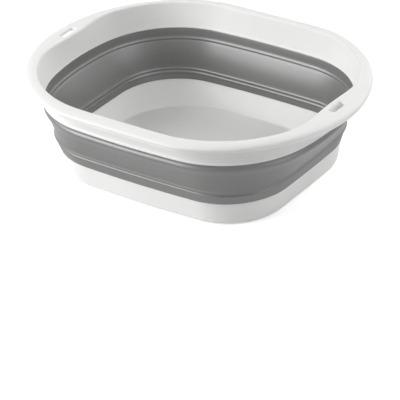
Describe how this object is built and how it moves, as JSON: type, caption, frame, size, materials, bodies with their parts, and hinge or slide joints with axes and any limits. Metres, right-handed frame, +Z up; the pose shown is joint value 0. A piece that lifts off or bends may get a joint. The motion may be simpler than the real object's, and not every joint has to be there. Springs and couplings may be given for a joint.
{
  "type": "collapsible washbasin",
  "caption": "Round-cornered collapsible washbasin: rolled rim with a slotted handle at each end, a folding elastomer wall and a shallow base tray.",
  "frame": {"origin": "on the ground below the middle of the basin", "axes": "+X along the long side towards one handle, +Y across, +Z up"},
  "size_m": [0.3808, 0.3056, 0.112],
  "materials": {
    "white_plastic": "satin moulded polypropylene",
    "grey_elastomer": "satin moulded thermoplastic elastomer"
  },
  "bodies": {
    "tray": {"base_tray": "white_plastic", "wall_lower_band": "grey_elastomer", "foot_pad_1": "grey_elastomer", "foot_pad_2": "grey_elastomer", "foot_pad_3": "grey_elastomer", "foot_pad_4": "grey_elastomer"},
    "rim": {"rim_frame": "white_plastic", "wall_upper_band": "grey_elastomer", "wall_fold_band": "grey_elastomer"}
  },
  "joints": [
    {"name": "collapse", "type": "slide", "parent": "tray", "child": "rim", "axis": [0, 0, -1], "range_m": [0, 0.07], "deforming": ["wall_fold_band"]}
  ]
}
